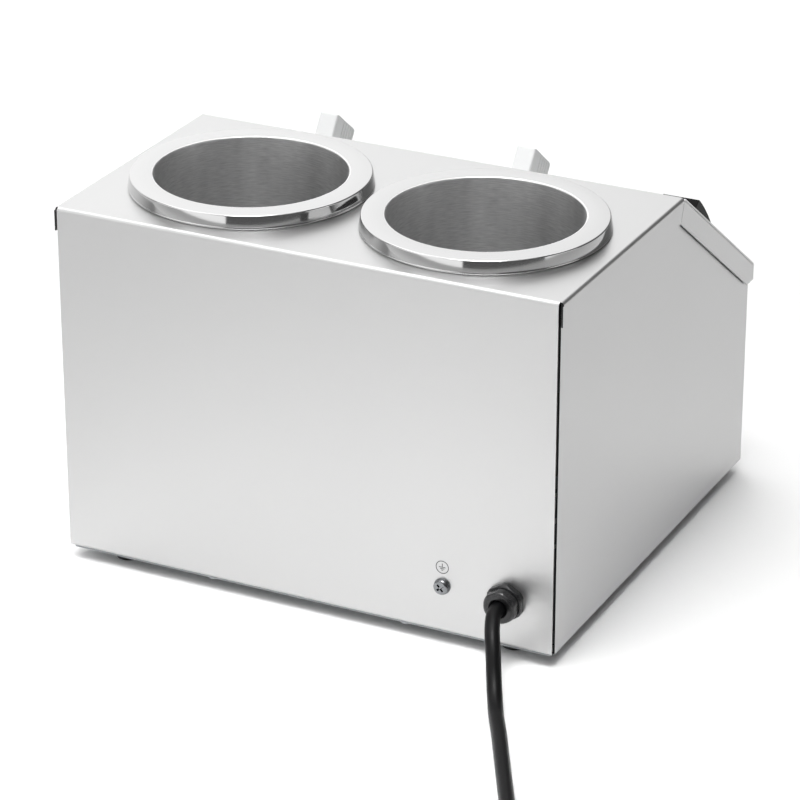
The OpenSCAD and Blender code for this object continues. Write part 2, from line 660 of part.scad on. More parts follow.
// Shaft with a flat near its end, and the knob that it carries
module d_section(r, flat) {
  intersection() {
    circle(r = r, $fn = 48);
    translate([-r, -r]) square([2 * r, r + flat]);
  }
}
module shaft(index) {
  color(zinc) on_slope(knob_x[index], control_s) {
    translate([0, 0, -shaft_in]) cylinder(r = shaft_r, h = shaft_in + 4, $fn = 48);
    translate([0, 0, 4 - eps]) linear_extrude(shaft_top - 4) d_section(shaft_r, shaft_r * 0.55);
  }
}
module knob(index) {
  skirt_r = knob_d / 2;
  cavity_h = skirt_h - 1.6;
  groove = 0.5;
  color("#dcdddd") on_slope(knob_x[index], control_s) difference() {
    union() {
      rotate_extrude($fn = 96) polygon([[0, cavity_h], [skirt_r - skirt_wall, cavity_h],
        [skirt_r - skirt_wall, knob_gap], [skirt_r, knob_gap], [skirt_r, skirt_h * 0.5],
        [skirt_r - 1.2, skirt_h - 0.4], [skirt_r - 1.8, skirt_h], [0, skirt_h]]);
      translate([0, 0, stat_bush_h + 0.6])
        cylinder(r = boss_r, h = skirt_h - stat_bush_h - 0.7, $fn = 48);
      intersection() {
        translate([0, 0, skirt_h - eps])
          rounded_block(grip_w, grip_l, knob_h - skirt_h + eps, 1.4);
        along_x(grip_w) polygon(concat([[grip_l / 2, 0], [grip_l / 2, knob_h - 1]],
          arc([grip_l / 2 - 1, knob_h - 1], 1, 1, 30, 90, 3),
          arc([4 - grip_l / 2, knob_h - 5], 4, 4, 90, 180, 5), [[-grip_l / 2, 0]]));
      }
    }
    for (side = [-1, 1], i = [0:4])
      translate([side * grip_w / 2, grip_l * (0.12 - i * 0.125), skirt_h + 2])
        rotate([0, 0, 45]) translate([-groove, -groove, 0]) cube([2 * groove, 2 * groove, knob_h]);
    translate([0, 0, -1]) linear_extrude(shaft_top + 1.5)
      d_section(shaft_r + 0.05, shaft_r * 0.55 + 0.05);
    translate([0, 0, -1]) cylinder(r = shaft_r + 0.05, h = 5.2, $fn = 48);
  }
}

// Pilot lamps: barrel with a bezel, lens, and the nut behind the panel
module lamp_body(index) {
  color("#e6e6e4") on_slope(knob_x[index], lamp_s) difference() {
    union() {
      rotate_extrude($fn = 64) polygon([[0, 0], [lamp_r, 0], [lamp_r, lamp_rim_h * 0.5],
        [lamp_r - 0.8, lamp_rim_h], [0, lamp_rim_h]]);
      translate([0, 0, -lamp_barrel_l]) cylinder(r = lamp_barrel_r, h = lamp_barrel_l + 0.2, $fn = 48);
      for (x = [-1, 1]) translate([x * lamp_barrel_r * 0.45 - 0.4, -2, -lamp_barrel_l - 6])
        cube([0.8, 4, 7]);
    }
    translate([0, 0, -2]) cylinder(r = lamp_barrel_r - 0.7, h = 10, $fn = 48);
  }
}
module lamp_lens(index) {
  lens_r = lamp_barrel_r - 0.7 - fit;
  ball_r = lens_r * 1.25;
  color("#d8862a") on_slope(knob_x[index], lamp_s) {
    translate([0, 0, -2]) cylinder(r = lens_r, h = lamp_rim_h + 2.4, $fn = 48);
    intersection() {
      translate([0, 0, lamp_rim_h + 0.4 - ball_r * 0.6]) sphere(r = ball_r, $fn = 48);
      translate([0, 0, lamp_rim_h + 0.3]) cylinder(r = lens_r, h = ball_r, $fn = 48);
    }
  }
}
module lamp_nuts() {
  color(zinc) for (x = knob_x) on_slope(x, lamp_s) translate([0, 0, -sheet_t - 3]) difference() {
    hexagon(lamp_d, 3);
    translate([0, 0, -1]) cylinder(r = lamp_barrel_r + screw_fit, h = 5, $fn = 48);
  }
}

// Rocker switch: open housing with its bezel, rocker on two trunnions, and terminals
module switch_housing() {
  cavity = rocker_end_r + 1;
  color(black_plastic) on_slope(-switch_x, control_s) difference() {
    union() {
      translate([0, 0, -switch_depth]) rounded_block(switch_out_w, switch_out_l, switch_depth + 0.5, 0.5);
      rounded_block(switch_out_w + 2 * bezel_edge, switch_out_l + 2 * bezel_edge, bezel_h * 0.6, 1.4);
      rounded_block(switch_out_w + 1.2 * bezel_edge, switch_out_l + 1.2 * bezel_edge, bezel_h, 1.2);
    }
    translate([0, 0, -7]) rounded_block(switch_in_w, switch_in_l, 7 + bezel_h + 1, 0.4);
    translate([0, 0, rocker_axis_h]) rotate([0, 90, 0])
      cylinder(r = trunnion_r + running_fit, h = switch_in_w + 2 * switch_wall - 0.3, center = true, $fn = 32);
  }
}
module switch_rocker() {
  top_half = sqrt(rocker_end_r ^ 2 - rocker_rise ^ 2);
  end_a = atan2(rocker_rise, top_half);
  low_a = -8;
  crown = 1.1;
  mid_r = (top_half ^ 2 + crown ^ 2) / (2 * crown);
  mid_a = asin(top_half / mid_r);
  color(black_plastic) on_slope(-switch_x, control_s) translate([0, 0, rocker_axis_h])
    rotate([rocker_tilt, 0, 0]) {
      along_x(rocker_half_w) polygon(concat(
        arc([0, 0], rocker_end_r, rocker_end_r, low_a, end_a, 4),
        arc([0, rocker_rise + crown - mid_r], mid_r, mid_r, 90 - mid_a + 1.5, 90 + mid_a - 1.5, 10),
        arc([0, 0], rocker_end_r, rocker_end_r, 180 - end_a, 180 - low_a, 4)));
      rotate([0, 90, 0]) cylinder(r = trunnion_r, h = switch_in_w + 2 * switch_wall - 0.7,
        center = true, $fn = 32);
    }
}
module switch_terminals() {
  color("#c8a24a") on_slope(-switch_x, control_s)
    for (x = [-1, 1], y = [-1, 0, 1]) translate([x * rocker_half_w * 0.55 - 0.4,
      y * switch_in_l * 0.3 - 3, -switch_depth - 8]) cube([0.8, 6.3, 8]);
}

// Ceramic terminal block on the base plate, where the mains lead ends
block_at = [-gland_x + 36, rear_y - 62];
block_size = [34, 20, 16];
module terminal_block() {
  color("#ece8dc") translate([block_at.x, block_at.y, base_z]) difference() {
    union() {
      translate([0, 0, block_size.z / 2]) cube(block_size, center = true);
      for (x = [-1, 1]) translate([x * (block_size.x / 2 + 3.5), 0, 2]) cube([8, 10, 4], center = true);
    }
    for (i = [-1:1]) translate([i * 10, 0, block_size.z - 7]) {
      cylinder(r = 2.4, h = 10, $fn = 32);
      rotate([90, 0, 0]) cylinder(r = 2, h = 30, center = true, $fn = 32);
    }
  }
}
module terminal_screws() {
  color("#c8a24a") translate([block_at.x, block_at.y, base_z])
    for (i = [-1:1]) translate([i * 10, 0, block_size.z - 6.5]) difference() {
      cylinder(r = 2.3, h = 5.5, $fn = 32);
      translate([-3, -0.4, 4.6]) cube([6, 0.8, 2]);
    }
}

// Bonding screw in the rear panel, with its nut behind
m5_r = 2.45;
module earth_screw() {
  washer_h = 0.6;
  color(zinc) translate([-earth_x, rear_y, gland_z]) rotate([-90, 0, 0]) {
    translate([0, 0, washer_h]) pan_screw(m5_r, washer_h + sheet_t + 10, 4.9, 2.6);
    cylinder(r = 5.2, h = washer_h, $fn = 48);
  }
}
module earth_nut() {
  color(zinc) translate([-earth_x, rear_y - sheet_t - 4, gland_z]) rotate([-90, 0, 0]) difference() {
    hexagon(8, 4);
    translate([0, 0, -1]) cylinder(r = m5_r + screw_fit, h = 6, $fn = 32);
  }
}

// Cable gland: flanged body through the panel, hexagonal cap, and locknut inside
gland_thread_r = 9;
gland_flange_h = 4.5;
module at_gland() {
  translate([-gland_x, rear_y, gland_z]) rotate([-90, 0, 0]) children();
}
module gland_body() {
  color(black_plastic) at_gland() difference() {
    union() {
      intersection() {
        rotate_extrude($fn = 64) polygon([[0, 0], [gland_d / 2, 0], [gland_d / 2, gland_flange_h - 1.2],
          [gland_d / 2 - 1.2, gland_flange_h], [0, gland_flange_h]]);
        rotate([0, 0, 30]) hexagon(gland_d * 0.93, gland_flange_h);
      }
      cylinder(r = gland_thread_r + 0.8, h = gland_flange_h + 1.2, $fn = 64);
      translate([0, 0, -12]) cylinder(r = gland_thread_r, h = 12.1, $fn = 64);
      translate([3.2, gland_d / 2 - 1.8, 0]) rounded_block(5, 3, gland_flange_h - 1.4, 0.8);
    }
    translate([0, 0, -13]) cylinder(r = gland_bore_r, h = 40, $fn = 48);
  }
}
module gland_cap() {
  cap_w = gland_d - 4;
  cap_h = gland_out - gland_flange_h - 1.2;
  round_r = 2.6;
  color(black_plastic) at_gland() translate([0, 0, gland_flange_h + 1.2]) difference() {
    intersection() {
      rotate([0, 0, 30]) hexagon(cap_w, cap_h);
      rotate_extrude($fn = 64) polygon(concat([[0, 0], [cap_w * 0.53, 0]],
        arc([cap_w * 0.53 - round_r, cap_h - round_r], round_r, round_r, 0, 90, 5), [[0, cap_h]]));
    }
    translate([0, 0, -1]) cylinder(r = gland_bore_r, h = 40, $fn = 48);
    translate([0, 0, cap_h - 1.2]) cylinder(r1 = gland_bore_r, r2 = gland_bore_r + 1.4, h = 1.3, $fn = 48);
  }
}
module gland_locknut() {
  color(black_plastic) at_gland() translate([0, 0, -sheet_t - 5]) difference() {
    hexagon(gland_thread_r * 2 + 5, 5);
    translate([0, 0, -1]) cylinder(r = gland_thread_r + screw_fit, h = 8, $fn = 64);
  }
}

// The lead inside the casing, from the gland's end down to the terminal block
module inner_lead() {
  straight = 26;
  end = [block_at.x - 6, block_at.y + block_size.y / 2 + fit];
  color(black_rubber) {
    at_gland() translate([0, 0, -straight]) cylinder(r = cord_r, h = straight + gland_out, $fn = 48);
    tube([[-gland_x, rear_y - straight + 0.5, gland_z], [-gland_x, rear_y - straight - 6, gland_z - 1],
      [-gland_x + 4, rear_y - straight - 11, gland_z - 4], [-gland_x + 16, end.y + 11, gland_z - 11],
      [end.x - 4, end.y + 8, base_z + 12], [end.x, end.y + 3, base_z + 10],
      [end.x, end.y, base_z + 10]], cord_r * 0.8, 8);
  }
}

// A tube swept along points, with rings that turn as little as they can
function tangents(p) = [for (i = [0:len(p) - 1])
  unit(p[min(i + 1, len(p) - 1)] - p[max(i - 1, 0)])];
function across(v, t) = unit(v - (v * t) * t);
function frames(t, i, v) = i == len(t) ? [] :
  let (u = across(v, t[i])) concat([u], frames(t, i + 1, u));
module tube(p, r, sides) {
  t = tangents(p);
  u = frames(t, 0, abs(t[0].z) > 0.9 ? [1, 0, 0] : [0, 0, 1]);
  rings = [for (i = [0:len(p) - 1], k = [0:sides - 1]) let (a = 360 * k / sides)
    p[i] + r * (cos(a) * u[i] + sin(a) * cross(t[i], u[i]))];
  last = (len(p) - 1) * sides;
  polyhedron(rings, concat([[for (k = [0:sides - 1]) k]],
    [[for (k = [sides - 1:-1:0]) last + k]],
    [for (i = [0:len(p) - 2], k = [0:sides - 1]) let (a = i * sides, b = (k + 1) % sides)
      [a + k, a + sides + k, a + sides + b, a + b]]), convexity = 4);
}

// Sleeved wires between the terminals, each a curve with a handle at either end
into = [0, sin(slope_a), -cos(slope_a)];
function slope_at(x, s, n) = [x, crest_y - s * cos(slope_a) - n * sin(slope_a),
  top_z - s * sin(slope_a) + n * cos(slope_a)];
function switch_tab(x, y) = slope_at(-switch_x + x * rocker_half_w * 0.55,
  control_s - y * switch_in_l * 0.3, -switch_depth - 8);
function stat_tab(index, x) = slope_at(knob_x[index] + x * stat_w * 0.3,
  control_s + stat_l * 0.2, -sheet_t - stat_h - 8);
function lamp_tab(index, x) = slope_at(knob_x[index] + x * lamp_barrel_r * 0.45, lamp_s,
  -lamp_barrel_l - 6);
function heater_way(a) = [cos(a), sin(a), 0];
function heater_tab(side, a) = [side * pot_pitch / 2, pot_y, band_z + band_h * 0.8]
  + (band_r + band_t + 8) * heater_way(a);
function cutout_tab(side, x) = [side * pot_pitch / 2 + x * cutout_d * 0.26, pot_y,
  well_under_z - cutout_h - 7];
function block_hole(i, way) = [block_at.x + i * 10, block_at.y + way * (block_size.y / 2 - 2),
  base_z + block_size.z - 7];
module wire(a, da, b, db) {
  p = a + 0.2 * unit(da);
  q = b + 0.2 * unit(db);
  tube([for (i = [0:12]) let (t = i / 12, u = 1 - t)
    u ^ 3 * p + 3 * u ^ 2 * t * (p + da) + 3 * u * t ^ 2 * (q + db) + t ^ 3 * q], 1, 6);
}
module wiring() {
  color("#e9e7df") {
    wire(block_hole(-1, -1), [-30, -110, 0], switch_tab(-1, 0), 60 * into);
    wire(block_hole(0, -1), [-20, -110, 0], switch_tab(1, 0), 60 * into);
    wire(block_hole(1, -1), [0, -30, 0], cutout_tab(-1, 1), [0, 0, -30]);
    wire(switch_tab(-1, 1), 40 * into, stat_tab(0, -1), 40 * into);
    wire(stat_tab(0, 0), 40 * into, stat_tab(1, -1), 40 * into);
    wire(stat_tab(0, 1), 30 * into, heater_tab(-1, -40), 30 * heater_way(-40));
    wire(stat_tab(1, 1), 30 * into, heater_tab(1, -40), 20 * heater_way(-40));
    for (side = [-1, 1]) wire(heater_tab(side, -140), 60 * heater_way(-140),
      cutout_tab(side, -1), [0, 0, -84]);
    wire(cutout_tab(-1, 1), [0, 0, -50], cutout_tab(1, 1), [0, 0, -50]);
    for (i = [0, 1]) {
      wire(lamp_tab(i, -1), 14 * into, stat_tab(i, -1), 14 * into);
      wire(lamp_tab(i, 1), 14 * into, stat_tab(i, 1), 14 * into);
    }
    wire([-earth_x, rear_y - sheet_t - 10, gland_z], [0, -20, 0], block_hole(1, 1), [0, 25, 0]);
  }
}
module power_cord() {
  color(black_rubber) {
    tube(route, cord_r, 12);
    tube(tail, cord_r, 12);
  }
}

// The unseen length, wound for storage, as the solid that its turns fill
module cord_coil() {
  color(black_rubber) translate([coil_at.x, coil_at.y, coil_z]) rotate_extrude($fn = 96)
    translate([coil_r, coil_thick / 2]) rounded_rectangle(coil_thick, coil_thick, cord_r);
}
module cord_tie() {
  wall = 0.8;
  inner = coil_thick + 2 * fit;
  color("#2a2a2c") translate([coil_at.x - coil_r, coil_at.y, coil_z + coil_thick / 2]) rotate([90, 0, 0])
    linear_extrude(8, center = true) difference() {
      rounded_rectangle(inner + 2 * wall, inner + 2 * wall, cord_r + fit + wall);
      rounded_rectangle(inner, inner, cord_r + fit);
    }
}

// Round two-pin plug with side contacts, tapered towards the lead
module mains_plug() {
  r = plug_d / 2;
  neck_r = cord_r + 2;
  color(black_rubber) translate(plug_at) rotate([0, 90, 0]) difference() {
    rotate_extrude($fn = 64) polygon([[0, 0], [neck_r, 0], [neck_r + 2.5, relief_l - 4],
      [r * 0.72, relief_l], [r * 0.86, relief_l + plug_l * 0.35], [r, relief_l + plug_l * 0.7],
      [r, relief_l + plug_l], [0, relief_l + plug_l]]);
    for (side = [-1, 1]) translate([side * r, 0, relief_l + plug_l - 14])
      translate([-2, -4.5, 0]) cube([4, 9, 15]);
    translate([0, 9.5, relief_l + plug_l - 6]) cylinder(r = 2.4, h = 10, $fn = 32);
    translate([0, -9.5, relief_l + plug_l - 6]) cylinder(r = 2.4, h = 10, $fn = 32);
  }
}
module plug_pins() {
  color("#c9cacc") translate(plug_at) rotate([0, 90, 0]) for (side = [-1, 1])
    translate([0, side * 9.5, relief_l + plug_l - 6]) rotate_extrude($fn = 32)
      polygon([[0, 0], [2.4 - 0.05, 0], [2.4 - 0.05, 6 + pin_l - 1], [1.6, 6 + pin_l], [0, 6 + pin_l]]);
}

top_rear_cover();
control_panel();
lip_rivets();
body_shell();
base_plate();
base_screws();
rubber_feet();
foot_screws();
foot_nuts();
heated_well(-1);  // heated_well_left
heated_well(1);  // heated_well_right
pot(-1);  // pot_left
pot(1);  // pot_right
band_heater(-1);  // band_heater_left
band_heater(1);  // band_heater_right
heater_clamp_screws();
thermal_cutout(-1);  // thermal_cutout_left
thermal_cutout(1);  // thermal_cutout_right
sensor(0);  // sensor_left
sensor(1);  // sensor_right
thermostat(0);  // thermostat_left
thermostat(1);  // thermostat_right
thermostat_screws();
shaft(0);  // shaft_left
shaft(1);  // shaft_right
knob(0);  // knob_left
knob(1);  // knob_right
lamp_body(0);  // lamp_body_left
lamp_body(1);  // lamp_body_right
lamp_lens(0);  // lamp_lens_left
lamp_lens(1);  // lamp_lens_right
lamp_nuts();
switch_housing();
switch_rocker();
switch_terminals();
terminal_block();
terminal_screws();
earth_screw();
earth_nut();
gland_body();
gland_cap();
gland_locknut();
inner_lead();
wiring();
power_cord();
cord_coil();
cord_tie();
mains_plug();
plug_pins();
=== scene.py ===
import math

import bmesh
import bpy
from mathutils import Matrix, Vector


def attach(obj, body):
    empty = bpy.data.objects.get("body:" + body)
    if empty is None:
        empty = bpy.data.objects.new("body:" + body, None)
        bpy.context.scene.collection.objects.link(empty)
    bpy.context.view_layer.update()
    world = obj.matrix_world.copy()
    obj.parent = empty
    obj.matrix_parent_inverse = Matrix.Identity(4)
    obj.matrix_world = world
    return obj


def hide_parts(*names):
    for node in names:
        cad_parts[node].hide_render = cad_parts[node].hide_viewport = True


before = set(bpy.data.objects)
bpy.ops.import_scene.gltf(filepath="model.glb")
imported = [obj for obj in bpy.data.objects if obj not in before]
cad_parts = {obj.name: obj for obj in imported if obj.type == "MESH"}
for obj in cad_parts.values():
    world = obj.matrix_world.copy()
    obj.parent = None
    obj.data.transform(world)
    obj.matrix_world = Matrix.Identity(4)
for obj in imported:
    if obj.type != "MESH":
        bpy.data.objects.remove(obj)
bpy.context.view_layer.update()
mm = 0.001
print("frame loaded")

# Camera at the photograph's place: metres, degrees, and millimetres for the lens and its sensor
shot = {"place": (-0.9146, 1.8688, 1.0325), "azimuth": 206.261, "pitch": 24.599, "lens": 164.6, "sensor": 36,
        "near": 0.05, "far": 60}
camera = bpy.data.objects.new("camera", bpy.data.cameras.new("camera"))
bpy.context.collection.objects.link(camera)
camera.location = shot["place"]
camera.rotation_euler = (math.radians(90 - shot["pitch"]), 0, math.radians(shot["azimuth"]))
camera.data.sensor_width = shot["sensor"]
camera.data.lens = shot["lens"]
camera.data.clip_start = shot["near"]
camera.data.clip_end = shot["far"]
bpy.context.scene.camera = camera


# Colours and nodes
def linear(code):
    parts = [int(code[i:i + 2], 16) / 255 for i in (1, 3, 5)]
    return [p / 12.92 if p <= 0.04045 else ((p + 0.055) / 1.055) ** 2.4 for p in parts] + [1]


def addNode(tree, kind, inputs=None, **settings):
    node = tree.nodes.new(kind)
    for key, value in settings.items():
        setattr(node, key, value)
    for key, value in (inputs or {}).items():
        if isinstance(value, bpy.types.NodeSocket):
            tree.links.new(value, node.inputs[key])
        else:
            node.inputs[key].default_value = value
    return node


def newMaterial(name, settings):
    material = bpy.data.materials.new(name)
    material.use_nodes = True
    tree = material.node_tree
    shader = tree.nodes["Principled BSDF"]
    shader.inputs["Base Color"].default_value = linear(settings["colour"])
    shader.inputs["Metallic"].default_value = settings.get("metal", 0)
    shader.inputs["Roughness"].default_value = settings["rough"]
    for key, socket in (("coat", "Coat Weight"), ("coatRough", "Coat Roughness"),
                        ("specular", "Specular IOR Level")):
        if key in settings:
            shader.inputs[socket].default_value = settings[key]
    return material, tree, shader


# Height of the bump that grain and moulding skin have, in metres
skinDepth = 0.00002


# Sheet metal with a grain: the map's U runs along the grain and V across it, in millimetres
def grainMetal(name, settings):
    material, tree, shader = newMaterial(name, settings)
    where = addNode(tree, "ShaderNodeUVMap", uv_map="grain")
    long, across = settings["line"]
    lines = addNode(tree, "ShaderNodeMapping", {"Vector": where.outputs[0],
                                                "Scale": (1 / long, 1 / across, 1)})
    fine = addNode(tree, "ShaderNodeTexNoise", {"Vector": lines.outputs[0], "Scale": 1, "Detail": 3,
                                               "Roughness": 0.6}, noise_dimensions="2D")
    broad, tall = settings.get("cloud", (90, 60))
    wide = addNode(tree, "ShaderNodeMapping", {"Vector": where.outputs[0], "Scale": (1 / broad, 1 / tall, 1)})
    cloud = addNode(tree, "ShaderNodeTexNoise", {"Vector": wide.outputs[0], "Scale": 1, "Detail": 2},
                    noise_dimensions="2D")
    low, high = settings["rough"] - settings["spread"], settings["rough"] + settings["spread"]
    grain = addNode(tree, "ShaderNodeMapRange", {"Value": fine.outputs[0], "From Min": 0.25, "From Max": 0.75,
                                                 "To Min": low, "To Max": high})
    haze = addNode(tree, "ShaderNodeMapRange", {"Value": cloud.outputs[0], "From Min": 0.3, "From Max": 0.7,
                                                "To Min": -settings["haze"], "To Max": settings["haze"]})
    both = addNode(tree, "ShaderNodeMath", {0: grain.outputs[0], 1: haze.outputs[0]}, operation="ADD")
    tree.links.new(both.outputs[0], shader.inputs["Roughness"])
    mixed = addNode(tree, "ShaderNodeMix", {0: settings.get("cloudTone", 0.2), 2: fine.outputs[0],
                                            3: cloud.outputs[0]}, data_type="FLOAT")
    tone = addNode(tree, "ShaderNodeMapRange", {"Value": mixed.outputs[0], "From Min": 0.3, "From Max": 0.7,
                                                "To Min": 1 - settings["tone"], "To Max": 1})
    colour = addNode(tree, "ShaderNodeMix", data_type="RGBA", blend_type="MULTIPLY")
    colour.inputs[0].default_value = 1
    colour.inputs[6].default_value = linear(settings["colour"])
    tree.links.new(tone.outputs[0], colour.inputs[7])
    tree.links.new(colour.outputs[2], shader.inputs["Base Color"])
    bump = addNode(tree, "ShaderNodeBump", {"Height": fine.outputs[0], "Strength": settings["bump"],
                                            "Distance": skinDepth})
    tree.links.new(bump.outputs[0], shader.inputs["Normal"])
    return material


# Moulded, sheathed, plated and ceramic surfaces, with a fine texture whose size is in millimetres
def mouldedSurface(name, settings):
    material, tree, shader = newMaterial(name, settings)
    where = addNode(tree, "ShaderNodeTexCoord")
    size = 1 / (settings.get("texture", 0.4) * mm)
    fine = addNode(tree, "ShaderNodeTexNoise", {"Vector": where.outputs["Object"], "Scale": size,
                                               "Detail": 2})
    spread = settings.get("spread", 0.05)
    rough = addNode(tree, "ShaderNodeMapRange", {"Value": fine.outputs[0], "From Min": 0.3, "From Max": 0.7,
                                                 "To Min": settings["rough"] - spread,
                                                 "To Max": settings["rough"] + spread})
    tree.links.new(rough.outputs[0], shader.inputs["Roughness"])
    bump = addNode(tree, "ShaderNodeBump", {"Height": fine.outputs[0], "Strength": settings.get("bump", 0.2),
                                            "Distance": settings.get("depth", skinDepth)})
    tree.links.new(bump.outputs[0], shader.inputs["Normal"])
    return material


materials = {
    # Satin stainless sheet, belt brushed along its length: an even silver that blurs what it reflects. The
    # grain is 0.3 mm across, coarser than real grit so that a little of it shows.
    "casing": grainMetal("brushed stainless sheet", {
        "colour": "#c0c0c0", "metal": 1, "rough": 0.34, "spread": 0.03, "haze": 0.01, "tone": 0.015,
        "line": (40, 0.3), "bump": 0.015}),
    # Sheared edge of the same sheet: torn and dull, and painted dark grey as shade, so each sheet's end reads
    # as a dark shadow line
    "cut": mouldedSurface("sheared edge painted shade", {"colour": "#3c3c3d", "metal": 1, "rough": 0.55,
                                                     "texture": 0.3}),
    # Galvanised sheet under the casing: grey with a soft mottle about 6 mm wide
    "base": mouldedSurface("galvanised sheet", {"colour": "#8d9092", "metal": 1, "rough": 0.42,
                                                "texture": 6}),
    # Stainless rim, spun and then buffed: nearly a mirror, so its band carries light and dark patches
    "rim": grainMetal("buffed stainless rim", {
        "colour": "#c4c4c4", "metal": 1, "rough": 0.08, "spread": 0.02, "haze": 0.01, "tone": 0.02,
        "line": (40, 0.4), "bump": 0.02}),
    # Inside of a spun pot, left as the lathe leaves it: fine rings round the wall, drawn 0.7 mm wide to show,
    # and soft upright bands of tone
    "bore": grainMetal("spun stainless pot", {
        "colour": "#ececec", "metal": 1, "rough": 0.4, "spread": 0.06, "haze": 0.03, "tone": 0.34,
        "line": (8, 0.7), "bump": 0.25, "cloud": (20, 400), "cloudTone": 0.4}),
    # Pressed stainless, unpolished: greyer and duller than the pots that stand in it
    "well": grainMetal("pressed stainless well", {
        "colour": "#c2c3c5", "metal": 1, "rough": 0.42, "spread": 0.05, "haze": 0.03, "tone": 0.1,
        "line": (30, 0.5), "bump": 0.1}),
    # Zinc plate on small fixings: pale blue-grey with broad soft highlights
    "zinc": mouldedSurface("zinc plated steel", {"colour": "#b4b7ba", "metal": 1, "rough": 0.34,
                                                 "texture": 0.6}),
    # Zinc plate on the bonding screw, a darker grey than the other fixings: highlights stay on its dome and
    # cross recess
    "screw": mouldedSurface("darker zinc plate", {"colour": "#808284", "metal": 1, "rough": 0.22,
                                                   "texture": 0.5}),
    # Moulded rubber: flat black that takes no highlight
    "rubber": mouldedSurface("moulded black rubber", {"colour": "#191919", "rough": 0.7, "texture": 0.3}),
    # Extruded rubber sheath: satin black with one long soft highlight and a faint skin
    "sheath": mouldedSurface("extruded rubber sheath", {"colour": "#0c0c0d", "rough": 0.4, "texture": 0.8,
                                                        "bump": 0.25, "specular": 0.17}),
    # Moulded nylon: black with small bright highlights on the flats of the gland
    "black": mouldedSurface("moulded black nylon", {"colour": "#1b1b1c", "rough": 0.25, "texture": 0.3,
                                                    "bump": 0.1}),
    # Moulded switch plastic: deeper black and smoother than the nylon
    "gloss": mouldedSurface("moulded switch plastic", {"colour": "#080809", "rough": 0.42, "texture": 0.5,
                                                       "bump": 0.08, "specular": 0.08}),
    # ABS knob, sprayed silver-grey: pale, satin, with a very fine orange-peel skin
    "knob": mouldedSurface("sprayed ABS knob", {"colour": "#e2e3e3", "rough": 0.38, "texture": 0.25,
                                                "metal": 0.15, "bump": 0.12}),
    # Heater band, mild steel browned by its own heat: warm grey in blotches
    "heater": mouldedSurface("heat-browned steel", {"colour": "#8f8472", "metal": 1, "rough": 0.45,
                                                    "texture": 1.5}),
    # Phenolic resin, pressed: dark brown and slightly glossy
    "phenolic": mouldedSurface("pressed phenolic", {"colour": "#35231a", "rough": 0.4, "texture": 0.4}),
    # Drawn copper tube and bulbs: warm and bright, with a light tarnish
    "copper": mouldedSurface("drawn copper", {"colour": "#c4784a", "metal": 1, "rough": 0.3, "texture": 0.6}),
    # Passivated steel case of a thermostat: straw grey, half dull
    "stat": mouldedSurface("passivated steel case", {"colour": "#c8c1ad", "metal": 0.6, "rough": 0.4}),
    # Chrome plate on the pilot lamps' bezels: a clean mirror ring
    "bezel": mouldedSurface("chrome plated bezel", {"colour": "#e6e7e8", "metal": 1, "rough": 0.12,
                                                    "texture": 0.8, "spread": 0.02, "bump": 0.05}),
    # Polycarbonate lens, moulded and clear amber: a deep colour under a glossy skin
    "amber": mouldedSurface("moulded amber lens", {"colour": "#d9761b", "rough": 0.16, "texture": 0.6,
                                                   "bump": 0.1, "coat": 0.6, "coatRough": 0.1}),
    # Stamped brass terminals: plain yellow with light scuffs
    "brass": mouldedSurface("stamped brass", {"colour": "#c9a54f", "metal": 1, "rough": 0.3, "texture": 0.5}),
    # Nickel plate on the plug's pins: bright and slightly warm
    "pins": mouldedSurface("nickel plated brass", {"colour": "#cfd0d0", "metal": 1, "rough": 0.2,
                                                   "texture": 0.5}),
    # Ceramic block, fired without glaze: chalky off-white
    "ceramic": mouldedSurface("unglazed ceramic", {"colour": "#e9e4d6", "rough": 0.62, "texture": 0.5}),
    # Braided glass-fibre sleeving: off-white and rough, its braid drawn as a 0.3 mm texture
    "sleeving": mouldedSurface("braided glass-fibre sleeving", {"colour": "#e4e1d6", "rough": 0.75,
                                                                "texture": 0.3, "bump": 0.6,
                                                                "depth": 0.0001}),
    # Screen print on metal and plastic: flat dark grey, flat white
    "ink": mouldedSurface("dark grey screen print", {"colour": "#3a3b3c", "rough": 0.5, "texture": 0.2}),
    "mark": mouldedSurface("white screen print", {"colour": "#e6e6e3", "rough": 0.5, "texture": 0.2}),
}
print("materials made")


# Mesh helpers: lengths in millimetres go in, metres come out
def newPiece(name, mesh, material, body, nodes=()):
    piece = bpy.data.objects.new(name, mesh)
    bpy.context.collection.objects.link(piece)
    for each in material if isinstance(material, (list, tuple)) else [material]:
        piece.data.materials.append(materials[each])
    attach(piece, body)
    if nodes:
        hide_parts(*nodes)
    return piece


# Grain map of a flat-sided mesh, laid from the side that each face looks to, with a shift between sides
def setGrain(mesh, shift=37):
    layer = mesh.uv_layers.new(name="grain")
    for face in mesh.polygons:
        n = [abs(v) for v in face.normal]
        main = n.index(max(n))
        axes = [(1, 2), (0, 2), (0, 1)][main]
        for i in face.loop_indices:
            p = mesh.vertices[mesh.loops[i].vertex_index].co / mm
            layer.data[i].uv = (p[axes[0]], p[axes[1]] + shift * main)


# Faces one sheet thick whose every edge is square: the sheared edges, which take the painted shade
def markCutEdges(work, thick, slack=1.05, squareFrom=60):
    for face in work.faces:
        slim = 2 * face.calc_area() / max(face.calc_perimeter(), 1e-9) / mm
        square = all(len(e.link_faces) == 2 and e.calc_face_angle(0) > math.radians(squareFrom)
                     for e in face.edges)
        if slim < thick * slack and square:
            face.material_index = 1


